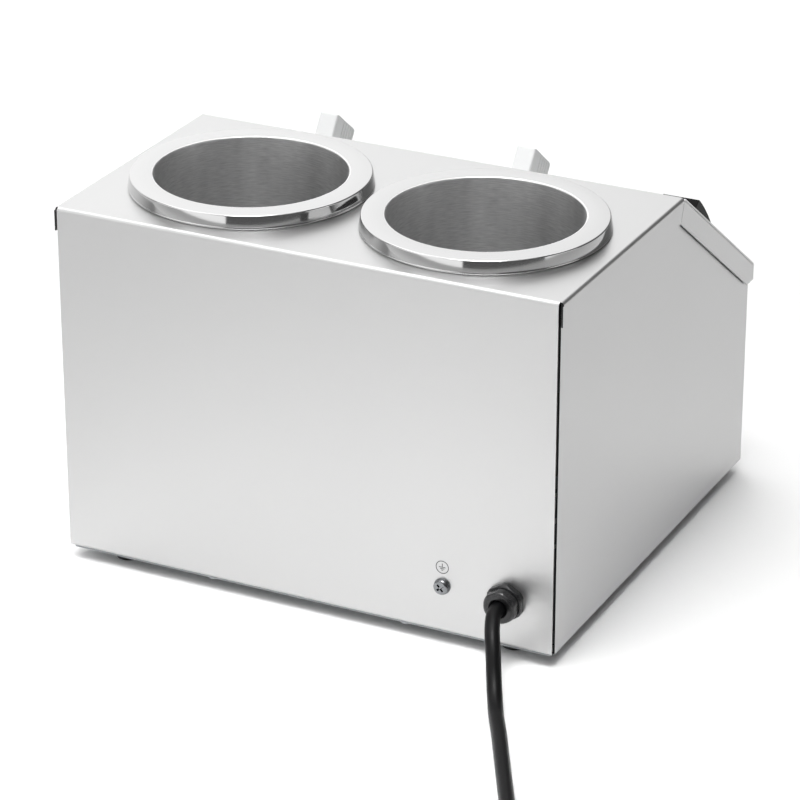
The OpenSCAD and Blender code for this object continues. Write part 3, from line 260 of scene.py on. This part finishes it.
# Modifiers applied, and any corner normal that strayed far from its own face turned back to it
def settle(piece, strayed=50):
    mesh = bpy.data.meshes.new_from_object(piece.evaluated_get(bpy.context.evaluated_depsgraph_get()))
    normals = [corner.vector.copy() for corner in mesh.corner_normals]
    for face in mesh.polygons:
        for i in face.loop_indices:
            if face.normal.angle(normals[i], 0) > math.radians(strayed):
                normals[i] = face.normal.copy()
    mesh.normals_split_custom_set(normals)
    piece.modifiers.clear()
    piece.data = mesh


# Corners closer than this many metres are one, and faces within this many degrees are one plane
weld, flatWithin = 0.000002, 0.3


# Copy of a node with cleaned faces, a grain map, bevelled edges and even shading
def copyOf(node, material, body, slot, bevel=0, angle=30, steps=2, cutEdge=0):
    work = bmesh.new()
    work.from_mesh(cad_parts[node].data)
    bmesh.ops.remove_doubles(work, verts=work.verts, dist=weld)
    bmesh.ops.dissolve_limit(work, angle_limit=math.radians(flatWithin), verts=work.verts, edges=work.edges)
    if cutEdge:
        markCutEdges(work, cutEdge)
    mesh = bpy.data.meshes.new(node + "_look")
    work.to_mesh(mesh)
    work.free()
    setGrain(mesh)
    for face in mesh.polygons:
        face.use_smooth = True
    mesh.set_sharp_from_angle(angle=math.radians(angle))
    piece = newPiece(node + "_look", mesh, material, body, [node])
    if bevel:
        edge = piece.modifiers.new("edge", "BEVEL")
        edge.width = bevel * mm
        edge.segments = steps
        edge.limit_method = "ANGLE"
        edge.angle_limit = math.radians(angle)
        edge.harden_normals = True
    flat = piece.modifiers.new("flat", "WEIGHTED_NORMAL")
    flat.keep_sharp = True
    settle(piece)
    return piece


# Points on an ellipse between two angles in degrees
def arc(centre, a, b, start, end, steps):
    return [(centre[0] + a * math.cos(math.radians(start + (end - start) * i / steps)),
             centre[1] + b * math.sin(math.radians(start + (end - start) * i / steps)))
            for i in range(steps + 1)]


# Path whose inner corners are rounded by the radii
def rounded(path, radii, steps=8):
    points = [path[0]]
    for a, b, c, r in zip(path, path[1:], path[2:], radii[1:]):
        p, q, s = Vector(a), Vector(b), Vector(c)
        if r <= 0:
            points.append(b)
            continue
        u, v = (p - q).normalized(), (s - q).normalized()
        half = u.angle(v) / 2
        centre = q + (u + v).normalized() * r / math.sin(half)
        one, two = q + u * r / math.tan(half) - centre, q + v * r / math.tan(half) - centre
        start = math.atan2(one.y, one.x)
        turn = math.atan2(one.x * two.y - one.y * two.x, one.dot(two))
        points += [(centre.x + r * math.cos(start + turn * i / steps),
                    centre.y + r * math.sin(start + turn * i / steps)) for i in range(steps + 1)]
    return points + [path[-1]]


# Turned mesh of a profile of radius and height; zones picks the material between two of its points
def lathe(name, profile, count, place, zones=None, crease=40):
    points, faces, grain, kinds = [], [], [], []
    run = [0]
    for a, b in zip(profile, profile[1:]):
        run.append(run[-1] + math.dist(a, b))
    for r, z in profile:
        for k in range(count):
            t = 2 * math.pi * k / count
            points.append(place @ Vector((r * math.cos(t) * mm, r * math.sin(t) * mm, z * mm)))
    for i in range(len(profile) - 1):
        if profile[i][0] == 0 and profile[i + 1][0] == 0:
            continue
        wide = max(profile[i][0], profile[i + 1][0])
        for k in range(count):
            j = (k + 1) % count
            faces.append((i * count + k, i * count + j, (i + 1) * count + j, (i + 1) * count + k))
            u = [2 * math.pi * wide * s / count for s in (k, k + 1, k + 1, k)]
            grain.append([(u[0], run[i]), (u[1], run[i]), (u[2], run[i + 1]), (u[3], run[i + 1])])
            kinds.append(zones(profile[i], profile[i + 1]) if zones else 0)
    mesh = bpy.data.meshes.new(name)
    mesh.from_pydata(points, [], faces)
    layer = mesh.uv_layers.new(name="grain")
    for face, uv, kind in zip(mesh.polygons, grain, kinds):
        face.use_smooth = True
        face.material_index = kind
        for i, pair in zip(face.loop_indices, uv):
            layer.data[i].uv = pair
    mesh.validate()
    mesh.set_sharp_from_angle(angle=math.radians(crease))
    return mesh


# Mains lead: the visible run, the coil out of view, and the plug's end
lead = {
    "thick": 9.0,
    "sides": 16,
    "step": 3,
    "exit": (-133.5, 157.5, 38),
    "run": [(0, 0, 1), (-0.5, 6.5, 1), (-3.8, 15.5, 0.94), (-7.6, 23.5, 0.82), (-11, 29.5, 0.64),
            (-14.5, 36, 0.37), (-18, 42.5, 0.18), (-22.5, 51, 0.05), (-27.5, 60.5, 0), (-36.5, 76.5, 0),
            (-51, 103.5, 0), (-65.5, 130.5, 0), (-79.5, 156.5, 0), (-93.5, 182.5, 0), (-107, 207.5, 0.015)],
    "coil": {"centre": (-200, 412), "outer": 58.5, "inner": 49.5, "low": 5.7, "high": 14.7, "start": 208.4,
             "ease": 60, "inward": 300, "climb": 600, "outward": 900, "points": 100, "every": 12,
             "end": 1198.4},
    "tail": [(-178, 470.5, 14.7), (-165, 470.5, 17.2), (-156, 470.5, 18.5), (-148, 470.5, 18.5)],
}


# Point of the coil after so many degrees: it goes inward, climbs a layer, and comes outward again
def coilPoint(turned):
    coil = lead["coil"]

    def ease(start):
        t = min(max((turned - start) / coil["ease"], 0), 1)
        return t * t * (3 - 2 * t)
    r = coil["outer"] + (coil["inner"] - coil["outer"]) * (ease(coil["inward"]) - ease(coil["outward"]))
    z = coil["low"] + (coil["high"] - coil["low"]) * ease(coil["climb"])
    a = math.radians(coil["start"] - turned)
    return (coil["centre"][0] + r * math.cos(a), coil["centre"][1] + r * math.sin(a), z)


# Smooth curve through the points, cut into pieces about one step long
def smoothRoute(points, step):
    dense = []
    count = len(points)
    for i in range(count - 1):
        p0, p1, p2, p3 = (Vector(points[max(min(j, count - 1), 0)]) for j in (i - 1, i, i + 1, i + 2))
        d1 = (p2 - p1).length
        m1 = (p2 - p0) / max((p2 - p1).length + (p1 - p0).length, 1e-6) * d1
        m2 = (p3 - p1) / max((p3 - p2).length + (p2 - p1).length, 1e-6) * d1
        parts = max(1, round(d1 / step))
        for k in range(parts):
            t = k / parts
            dense.append((2 * t ** 3 - 3 * t ** 2 + 1) * p1 + (t ** 3 - 2 * t ** 2 + t) * m1
                         + (3 * t ** 2 - 2 * t ** 3) * p2 + (t ** 3 - t ** 2) * m2)
    return dense + [Vector(points[-1])]


# Closed tube along a path
def tubeMesh(name, path, r, sides, crease=60):
    tangents = [(path[min(i + 1, len(path) - 1)] - path[max(i - 1, 0)]).normalized()
                for i in range(len(path))]
    u = Vector((0, 0, 1)) if abs(tangents[0].z) < 0.9 else Vector((1, 0, 0))
    points, faces = [], []
    for p, t in zip(path, tangents):
        u = (u - t * u.dot(t)).normalized()
        v = t.cross(u)
        for k in range(sides):
            a = 2 * math.pi * k / sides
            points.append((p + (u * math.cos(a) + v * math.sin(a)) * r) * mm)
    for i in range(len(path) - 1):
        for k in range(sides):
            j = (k + 1) % sides
            faces.append((i * sides + k, i * sides + j, (i + 1) * sides + j, (i + 1) * sides + k))
    faces.append(tuple(range(sides - 1, -1, -1)))
    faces.append(tuple((len(path) - 1) * sides + k for k in range(sides)))
    mesh = bpy.data.meshes.new(name)
    mesh.from_pydata(points, [], faces)
    for face in mesh.polygons:
        face.use_smooth = True
    mesh.set_sharp_from_angle(angle=math.radians(crease))
    return mesh


exitPoint = lead["exit"]
half = lead["thick"] / 2
controls = [(x + exitPoint[0], y + exitPoint[1], half + k * (exitPoint[2] - half))
            for x, y, k in lead["run"]]
controls += [coilPoint(k * lead["coil"]["every"]) for k in range(lead["coil"]["points"])]
controls += [coilPoint(lead["coil"]["end"])] + lead["tail"]
route = [Vector((p.x, p.y, max(p.z, half))) for p in smoothRoute(controls, lead["step"])]
cord = newPiece("mains_lead", tubeMesh("mains_lead", route, half, lead["sides"]), "sheath", "casing",
                ["power_cord", "cord_coil"])
tie = copyOf("cord_tie", "rubber", "casing", "rubber", 0.2)
plug = copyOf("mains_plug", "rubber", "casing", "cord", 0.5)

# Ribbed sleeve of the plug's strain relief, with a groove every 3 mm
reliefRibs = {"from": 2.5, "pitch": 3, "count": 6, "neck": 6.5, "root": 9, "long": 26, "proud": 0.7,
              "rib": ((0, 0.15), (0.3, 1), (1.7, 1), (2.0, 0.15)), "sunk": 0.5, "sides": 64}


# Closed profile of the ribs, whose inner side lies in the plug's neck
def ribProfile(s):
    def skin(z):
        return s["neck"] + (s["root"] - s["neck"]) * z / s["long"]
    points = []
    for i in range(s["count"]):
        z = s["from"] + i * s["pitch"]
        for step, proud in s["rib"]:
            points.append((skin(z + step) + s["proud"] * proud, z + step))
    inside = [(skin(z) - s["sunk"], z) for z in (points[-1][1], points[0][1])]
    return points + inside + [points[0]]


plugPlace = Matrix.Translation(Vector(lead["tail"][-1]) * mm) @ Matrix.Rotation(math.radians(90), 4, "Y")
ribMesh = lathe("plug_relief_ribs", ribProfile(reliefRibs), reliefRibs["sides"], plugPlace)
ribs = newPiece("plug_relief_ribs", ribMesh, "rubber", "casing")

# Casing sheets, with the grain along the long way of each face
sheetEdge = {"bevel": 0.12, "angle": 32, "cutEdge": 1}
# The sheets' sheared edges take the second material, a dark grey painted shade
copyOf("top_rear_cover", ["casing", "cut"], "casing", "casing", **sheetEdge)
copyOf("control_panel", ["casing", "cut"], "casing", "casing", **sheetEdge)
copyOf("body_shell", ["casing", "cut"], "casing", "casing", **sheetEdge)
copyOf("base_plate", ["base", "cut"], "casing", "base_plate", **sheetEdge)
print("casing dressed")

# Pots, spun in one piece: flat rim, upright band and a bead that rests on the top
potSize = {"inner": 59, "wall": 1, "corner": 10, "top": 232, "rim": 240.5, "floor": 82.5, "flat": 12.9,
           "roll": 1.6, "flare": 1.2, "bead": (0.7, 0.9), "x": 78, "y": 59.5, "sides": 192}


# Outer and inner wall in one closed profile, the band a little wider at its foot
def potProfile(s):
    band = s["inner"] + s["flat"] + s["roll"] - 0.1
    foot = band + s["flare"]
    wide, tall = s["bead"]
    near = rounded([(0, s["floor"]), (s["inner"], s["floor"]), (s["inner"], s["rim"]), (band, s["rim"]),
                    (foot, s["top"] + 2 * tall)], [0, s["corner"], 1, 0.9, 0])
    far = rounded([(band - s["wall"], s["rim"] - s["wall"]),
                   (s["inner"] + s["wall"], s["rim"] - s["wall"]),
                   (s["inner"] + s["wall"], s["floor"] - s["wall"]), (0, s["floor"] - s["wall"])],
                  [0, 0.5, s["corner"] + s["wall"], 0])
    return (near + arc((foot + 0.1 - wide, s["top"] + tall), wide, tall, 50, -90, 10)
            + [(foot - s["wall"], s["top"] + tall * 0.5)] + far)


# Everything outside the bore and above the top is rim
def potZone(a, b):
    if max(a[0], b[0]) > potSize["inner"] + 1.5 and min(a[1], b[1]) > potSize["top"] - 1:
        return 1
    return 0


for side, name in ((-1, "pot_left"), (1, "pot_right")):
    place = Matrix.Translation((side * potSize["x"] * mm, potSize["y"] * mm, 0))
    mesh = lathe(name + "_look", potProfile(potSize), potSize["sides"], place, potZone)
    newPiece(name + "_look", mesh, ["bore", "rim"], name, [name])
print("pots turned")

# Wells that the pots stand in, seen when a pot is lifted out
for name in ("heated_well_left", "heated_well_right"):
    copyOf(name, "well", "casing", "well", 0.3)

# Fittings on the rear panel
copyOf("gland_body", "black", "casing", "black_plastic", 0.25)
copyOf("gland_cap", "black", "casing", "black_plastic", 0.25)
screw = copyOf("earth_screw", "screw", "casing", "steel_fixings", 0.12)
copyOf("rubber_feet", "rubber", "casing", "rubber", 0.4)

# The bonding screw is turned about its own axis, so that its cross stands as in the photograph
bonding = {"x": -92, "z": 38, "turn": 42}
screwAxis = Vector((bonding["x"] * mm, 0, bonding["z"] * mm))
screwTurn = Matrix.Translation(screwAxis) @ Matrix.Rotation(math.radians(bonding["turn"]), 4, "Y")
screw.data.transform(screwTurn @ Matrix.Translation(-screwAxis))


# Thin printed or moulded marks: closed solids on a face whose own axes are given
def markSolid(outline, place, high):
    work = bmesh.new()
    low = [work.verts.new(place @ Vector((x * mm, y * mm, -0.02 * mm))) for x, y in outline]
    top = [work.verts.new(place @ Vector((x * mm, y * mm, high * mm))) for x, y in outline]
    count = len(outline)
    work.faces.new(list(reversed(low)))
    work.faces.new(top)
    for i in range(count):
        j = (i + 1) % count
        work.faces.new((low[i], low[j], top[j], top[i]))
    bmesh.ops.recalc_face_normals(work, faces=work.faces)
    return work


# One piece of several such solids
def markPiece(name, shapes, place, high, material, body):
    points, faces = [], []
    for outline in shapes:
        work = markSolid(outline, place, high)
        start = len(points)
        work.verts.index_update()
        points += [v.co[:] for v in work.verts]
        faces += [[start + v.index for v in f.verts] for f in work.faces]
        work.free()
    mesh = bpy.data.meshes.new(name)
    mesh.from_pydata(points, [], faces)
    return newPiece(name, mesh, material, body)


# Outlines for marks: a bar about a centre, and a ring or arc in parts whose width may grow
def bar(x, y, wide, tall):
    return [(x - wide / 2, y - tall / 2), (x + wide / 2, y - tall / 2), (x + wide / 2, y + tall / 2),
            (x - wide / 2, y + tall / 2)]


def ringParts(r, wide, start, end, parts, grow=0):
    shapes = []
    for i in range(parts):
        a, b = start + (end - start) * i / parts, start + (end - start) * (i + 1) / parts
        w1, w2 = wide + grow * i / parts, wide + grow * (i + 1) / parts
        shapes.append([(r * math.cos(math.radians(a)), r * math.sin(math.radians(a))),
                       ((r + w1) * math.cos(math.radians(a)), (r + w1) * math.sin(math.radians(a))),
                       ((r + w2) * math.cos(math.radians(b)), (r + w2) * math.sin(math.radians(b))),
                       (r * math.cos(math.radians(b)), r * math.sin(math.radians(b)))])
    return shapes


# Earth symbol printed over the bonding screw, seen in the photograph as a ring with an earth sign
earthMark = {"x": -92, "y": 145.5, "z": 50.5, "ring": 3.75, "line": 0.5, "high": 0.05, "parts": 40,
             "bars": ((0, 1.3, 0.5, 2.3), (0, 0.0, 4.3, 0.5), (0, -0.95, 2.8, 0.5), (0, -1.9, 1.3, 0.5))}
earthPlace = Matrix.Translation((earthMark["x"] * mm, earthMark["y"] * mm, earthMark["z"] * mm)) @ Matrix(
    ((-1, 0, 0, 0), (0, 0, 1, 0), (0, 1, 0, 0), (0, 0, 0, 1)))
earthShapes = ringParts(earthMark["ring"], earthMark["line"], 0, 360, earthMark["parts"])
earthShapes += [bar(*each) for each in earthMark["bars"]]
markPiece("earth_symbol", earthShapes, earthPlace, earthMark["high"], "ink", "casing")

# Dial marks on the slope round each knob, and a pointer line on each grip
slope = {"crest": (-34.5, 232), "angle": math.atan2(87.5, 123), "at": 56,
         "knobs": {"knob_left": -40, "knob_right": 98}}


# Place on the slope: x across, s down from the crest, n out of the face
def slopePlace(x, s, n):
    a = slope["angle"]
    y, z = slope["crest"]
    spot = Vector((x, y - s * math.cos(a) - n * math.sin(a), z - s * math.sin(a) + n * math.cos(a))) * mm
    up, out = Vector((0, math.cos(a), math.sin(a))), Vector((0, -math.sin(a), math.cos(a)))
    side = up.cross(out)
    return Matrix.Translation(spot) @ Matrix((side, up, out)).transposed().to_4x4()


# Controls
for name in ("knob_left", "knob_right"):
    copyOf(name, "knob", name, "knobs", 0.35, 25, 3)
copyOf("switch_rocker", "gloss", "rocker", "black_plastic", 0.4, 35, 3)
copyOf("switch_housing", "black", "casing", "black_plastic", 0.2)

dialMark = {"r": 23.2, "thin": 0.5, "grow": 2.6, "from": 60, "to": -180, "high": 0.05,
            "parts": 40, "index": (1.4, 1.2, 2.8)}
pointer = {"y": 8.6, "wide": 1.3, "long": 9.5, "top": 24, "high": 0.06}
for name, x in slope["knobs"].items():
    d = dialMark
    face = slopePlace(x, slope["at"], 0)
    shapes = ringParts(d["r"], d["thin"], d["from"], d["to"], d["parts"], d["grow"])
    above, wide, tall = d["index"]
    shapes.append(bar(0, d["r"] + above, wide, tall))
    markPiece(name + "_dial", shapes, face, d["high"], "ink", "casing")
    markPiece(name + "_pointer", [bar(0, pointer["y"], pointer["wide"], pointer["long"])],
              slopePlace(x, slope["at"], pointer["top"]), pointer["high"], "ink", name)

# On and off marks, moulded on the two halves of the rocker's crowned face
rockerMark = {"x": -147.5, "axis": -0.2, "tilt": 12, "rise": 6.8, "crown": 1.1, "curve": 117.1, "y": 9.5,
              "high": 0.1, "line": (0.9, 5), "ring": (1.9, 0.8), "parts": 28}


# Place on the crowned face, y from the rocker's middle
def rockerPlace(y):
    m = rockerMark
    z = m["rise"] + m["crown"] - m["curve"] + math.sqrt(m["curve"] ** 2 - y ** 2)
    return (slopePlace(m["x"], slope["at"], m["axis"]) @ Matrix.Rotation(math.radians(m["tilt"]), 4, "X")
            @ Matrix.Translation((0, y * mm, z * mm)) @ Matrix.Rotation(-math.asin(y / m["curve"]), 4, "X"))


onShapes = [bar(0, 0, *rockerMark["line"])]
offShapes = ringParts(*rockerMark["ring"], 0, 360, rockerMark["parts"])
markPiece("rocker_on_mark", onShapes, rockerPlace(-rockerMark["y"]), rockerMark["high"], "mark", "rocker")
markPiece("rocker_off_mark", offShapes, rockerPlace(rockerMark["y"]), rockerMark["high"], "mark", "rocker")
print("controls dressed")

# Carried-over pieces take a finish each
finishes = {
    "zinc": ["lip_rivets", "base_screws", "foot_screws", "foot_nuts", "heater_clamp_screws",
             "thermostat_screws", "shaft_left", "shaft_right", "lamp_nuts", "earth_nut"],
    "heater": ["band_heater_left", "band_heater_right"],
    "phenolic": ["thermal_cutout_left", "thermal_cutout_right"],
    "copper": ["sensor_left", "sensor_right"],
    "stat": ["thermostat_left", "thermostat_right"],
    "bezel": ["lamp_body_left", "lamp_body_right"],
    "amber": ["lamp_lens_left", "lamp_lens_right"],
    "brass": ["switch_terminals", "terminal_screws"],
    "ceramic": ["terminal_block"],
    "black": ["gland_locknut"],
    "sheath": ["inner_lead"],
    "sleeving": ["wiring"],
    "pins": ["plug_pins"],
}
for finish, names in finishes.items():
    for name in names:
        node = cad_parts[name]
        node.data.materials.clear()
        node.data.materials.append(materials[finish])
print("frame finished")

# Floor, reaching this many metres each way
reach = 20
floorMesh = bpy.data.meshes.new("floor")
floorMesh.from_pydata([(-reach, -reach, 0), (reach, -reach, 0), (reach, reach, 0), (-reach, reach, 0)], [],
                      [(0, 1, 2, 3)])
floor = bpy.data.objects.new("floor", floorMesh)
bpy.context.collection.objects.link(floor)
floor.data.materials.append(newMaterial("pale floor", {"colour": "#fcfcfc", "rough": 0.9})[0])

# Studio: a dim room, a wide soft source over the front, and a softbox on each side of the photographer.
# Each source rises from nothing to its full level between two cosines of the angle to its direction.
studio = {
    "room": 0.14,
    "sources": {
        "front sky": {"towards": (0.7, -0.52, 0.49), "from": 0.55, "to": 0.985, "adds": 1.42},
        "left softbox": {"towards": (0.537, 0.843, 0), "from": 0.785, "to": 0.8, "adds": 1.3},
        "right softbox": {"towards": (-0.993, -0.113, 0), "from": 0.945, "to": 0.955, "adds": 1.2},
    },
}
world = bpy.data.worlds.new("studio")
bpy.context.scene.world = world
world.use_nodes = True
worldTree = world.node_tree
way = addNode(worldTree, "ShaderNodeTexCoord")
room = addNode(worldTree, "ShaderNodeValue")
room.outputs[0].default_value = studio["room"]
total = room.outputs[0]
for source in studio["sources"].values():
    dot = addNode(worldTree, "ShaderNodeVectorMath", {0: way.outputs["Generated"], 1: source["towards"]},
                  operation="DOT_PRODUCT")
    rise = {"Value": dot.outputs["Value"], "From Min": source["from"], "From Max": source["to"], "To Min": 0,
            "To Max": source["adds"]}
    level = addNode(worldTree, "ShaderNodeMapRange", rise, interpolation_type="SMOOTHSTEP")
    both = addNode(worldTree, "ShaderNodeMath", {0: total, 1: level.outputs[0]}, operation="ADD")
    total = both.outputs[0]
background = worldTree.nodes["Background"]
worldTree.links.new(total, background.inputs["Strength"])
background.inputs["Color"].default_value = (1, 1, 1, 1)

# Lamps: a broad panel over the rear of the warmer, and two washes that keep the floor pale
lamps = {
    "overhead": {"place": (0.2, 1.2, 2.4), "aim": (0.2, 1.05, 0), "size": (3.6, 2.8), "power": 45,
                 "spread": 180},
    "floor wash": {"place": (-0.1, 0.4, 1.3), "aim": (-0.08, 0.24, 0), "size": (0.6, 0.6), "power": 1.0,
                   "spread": 40},
    "back wash": {"place": (1.2, -2.3, 2.6), "aim": (0.9, -1.7, 0), "size": (3, 2), "power": 18,
                  "spread": 80},
}
for name, s in lamps.items():
    light = bpy.data.lights.new(name, "AREA")
    light.shape = "RECTANGLE"
    light.size, light.size_y = s["size"]
    light.energy = s["power"]
    light.spread = math.radians(s["spread"])
    lamp = bpy.data.objects.new(name, light)
    bpy.context.collection.objects.link(lamp)
    lamp.location = s["place"]
    lamp.rotation_euler = (Vector(s["aim"]) - Vector(s["place"])).to_track_quat("-Z", "Y").to_euler()
bpy.context.scene.view_settings.view_transform = "Standard"
print("studio set")
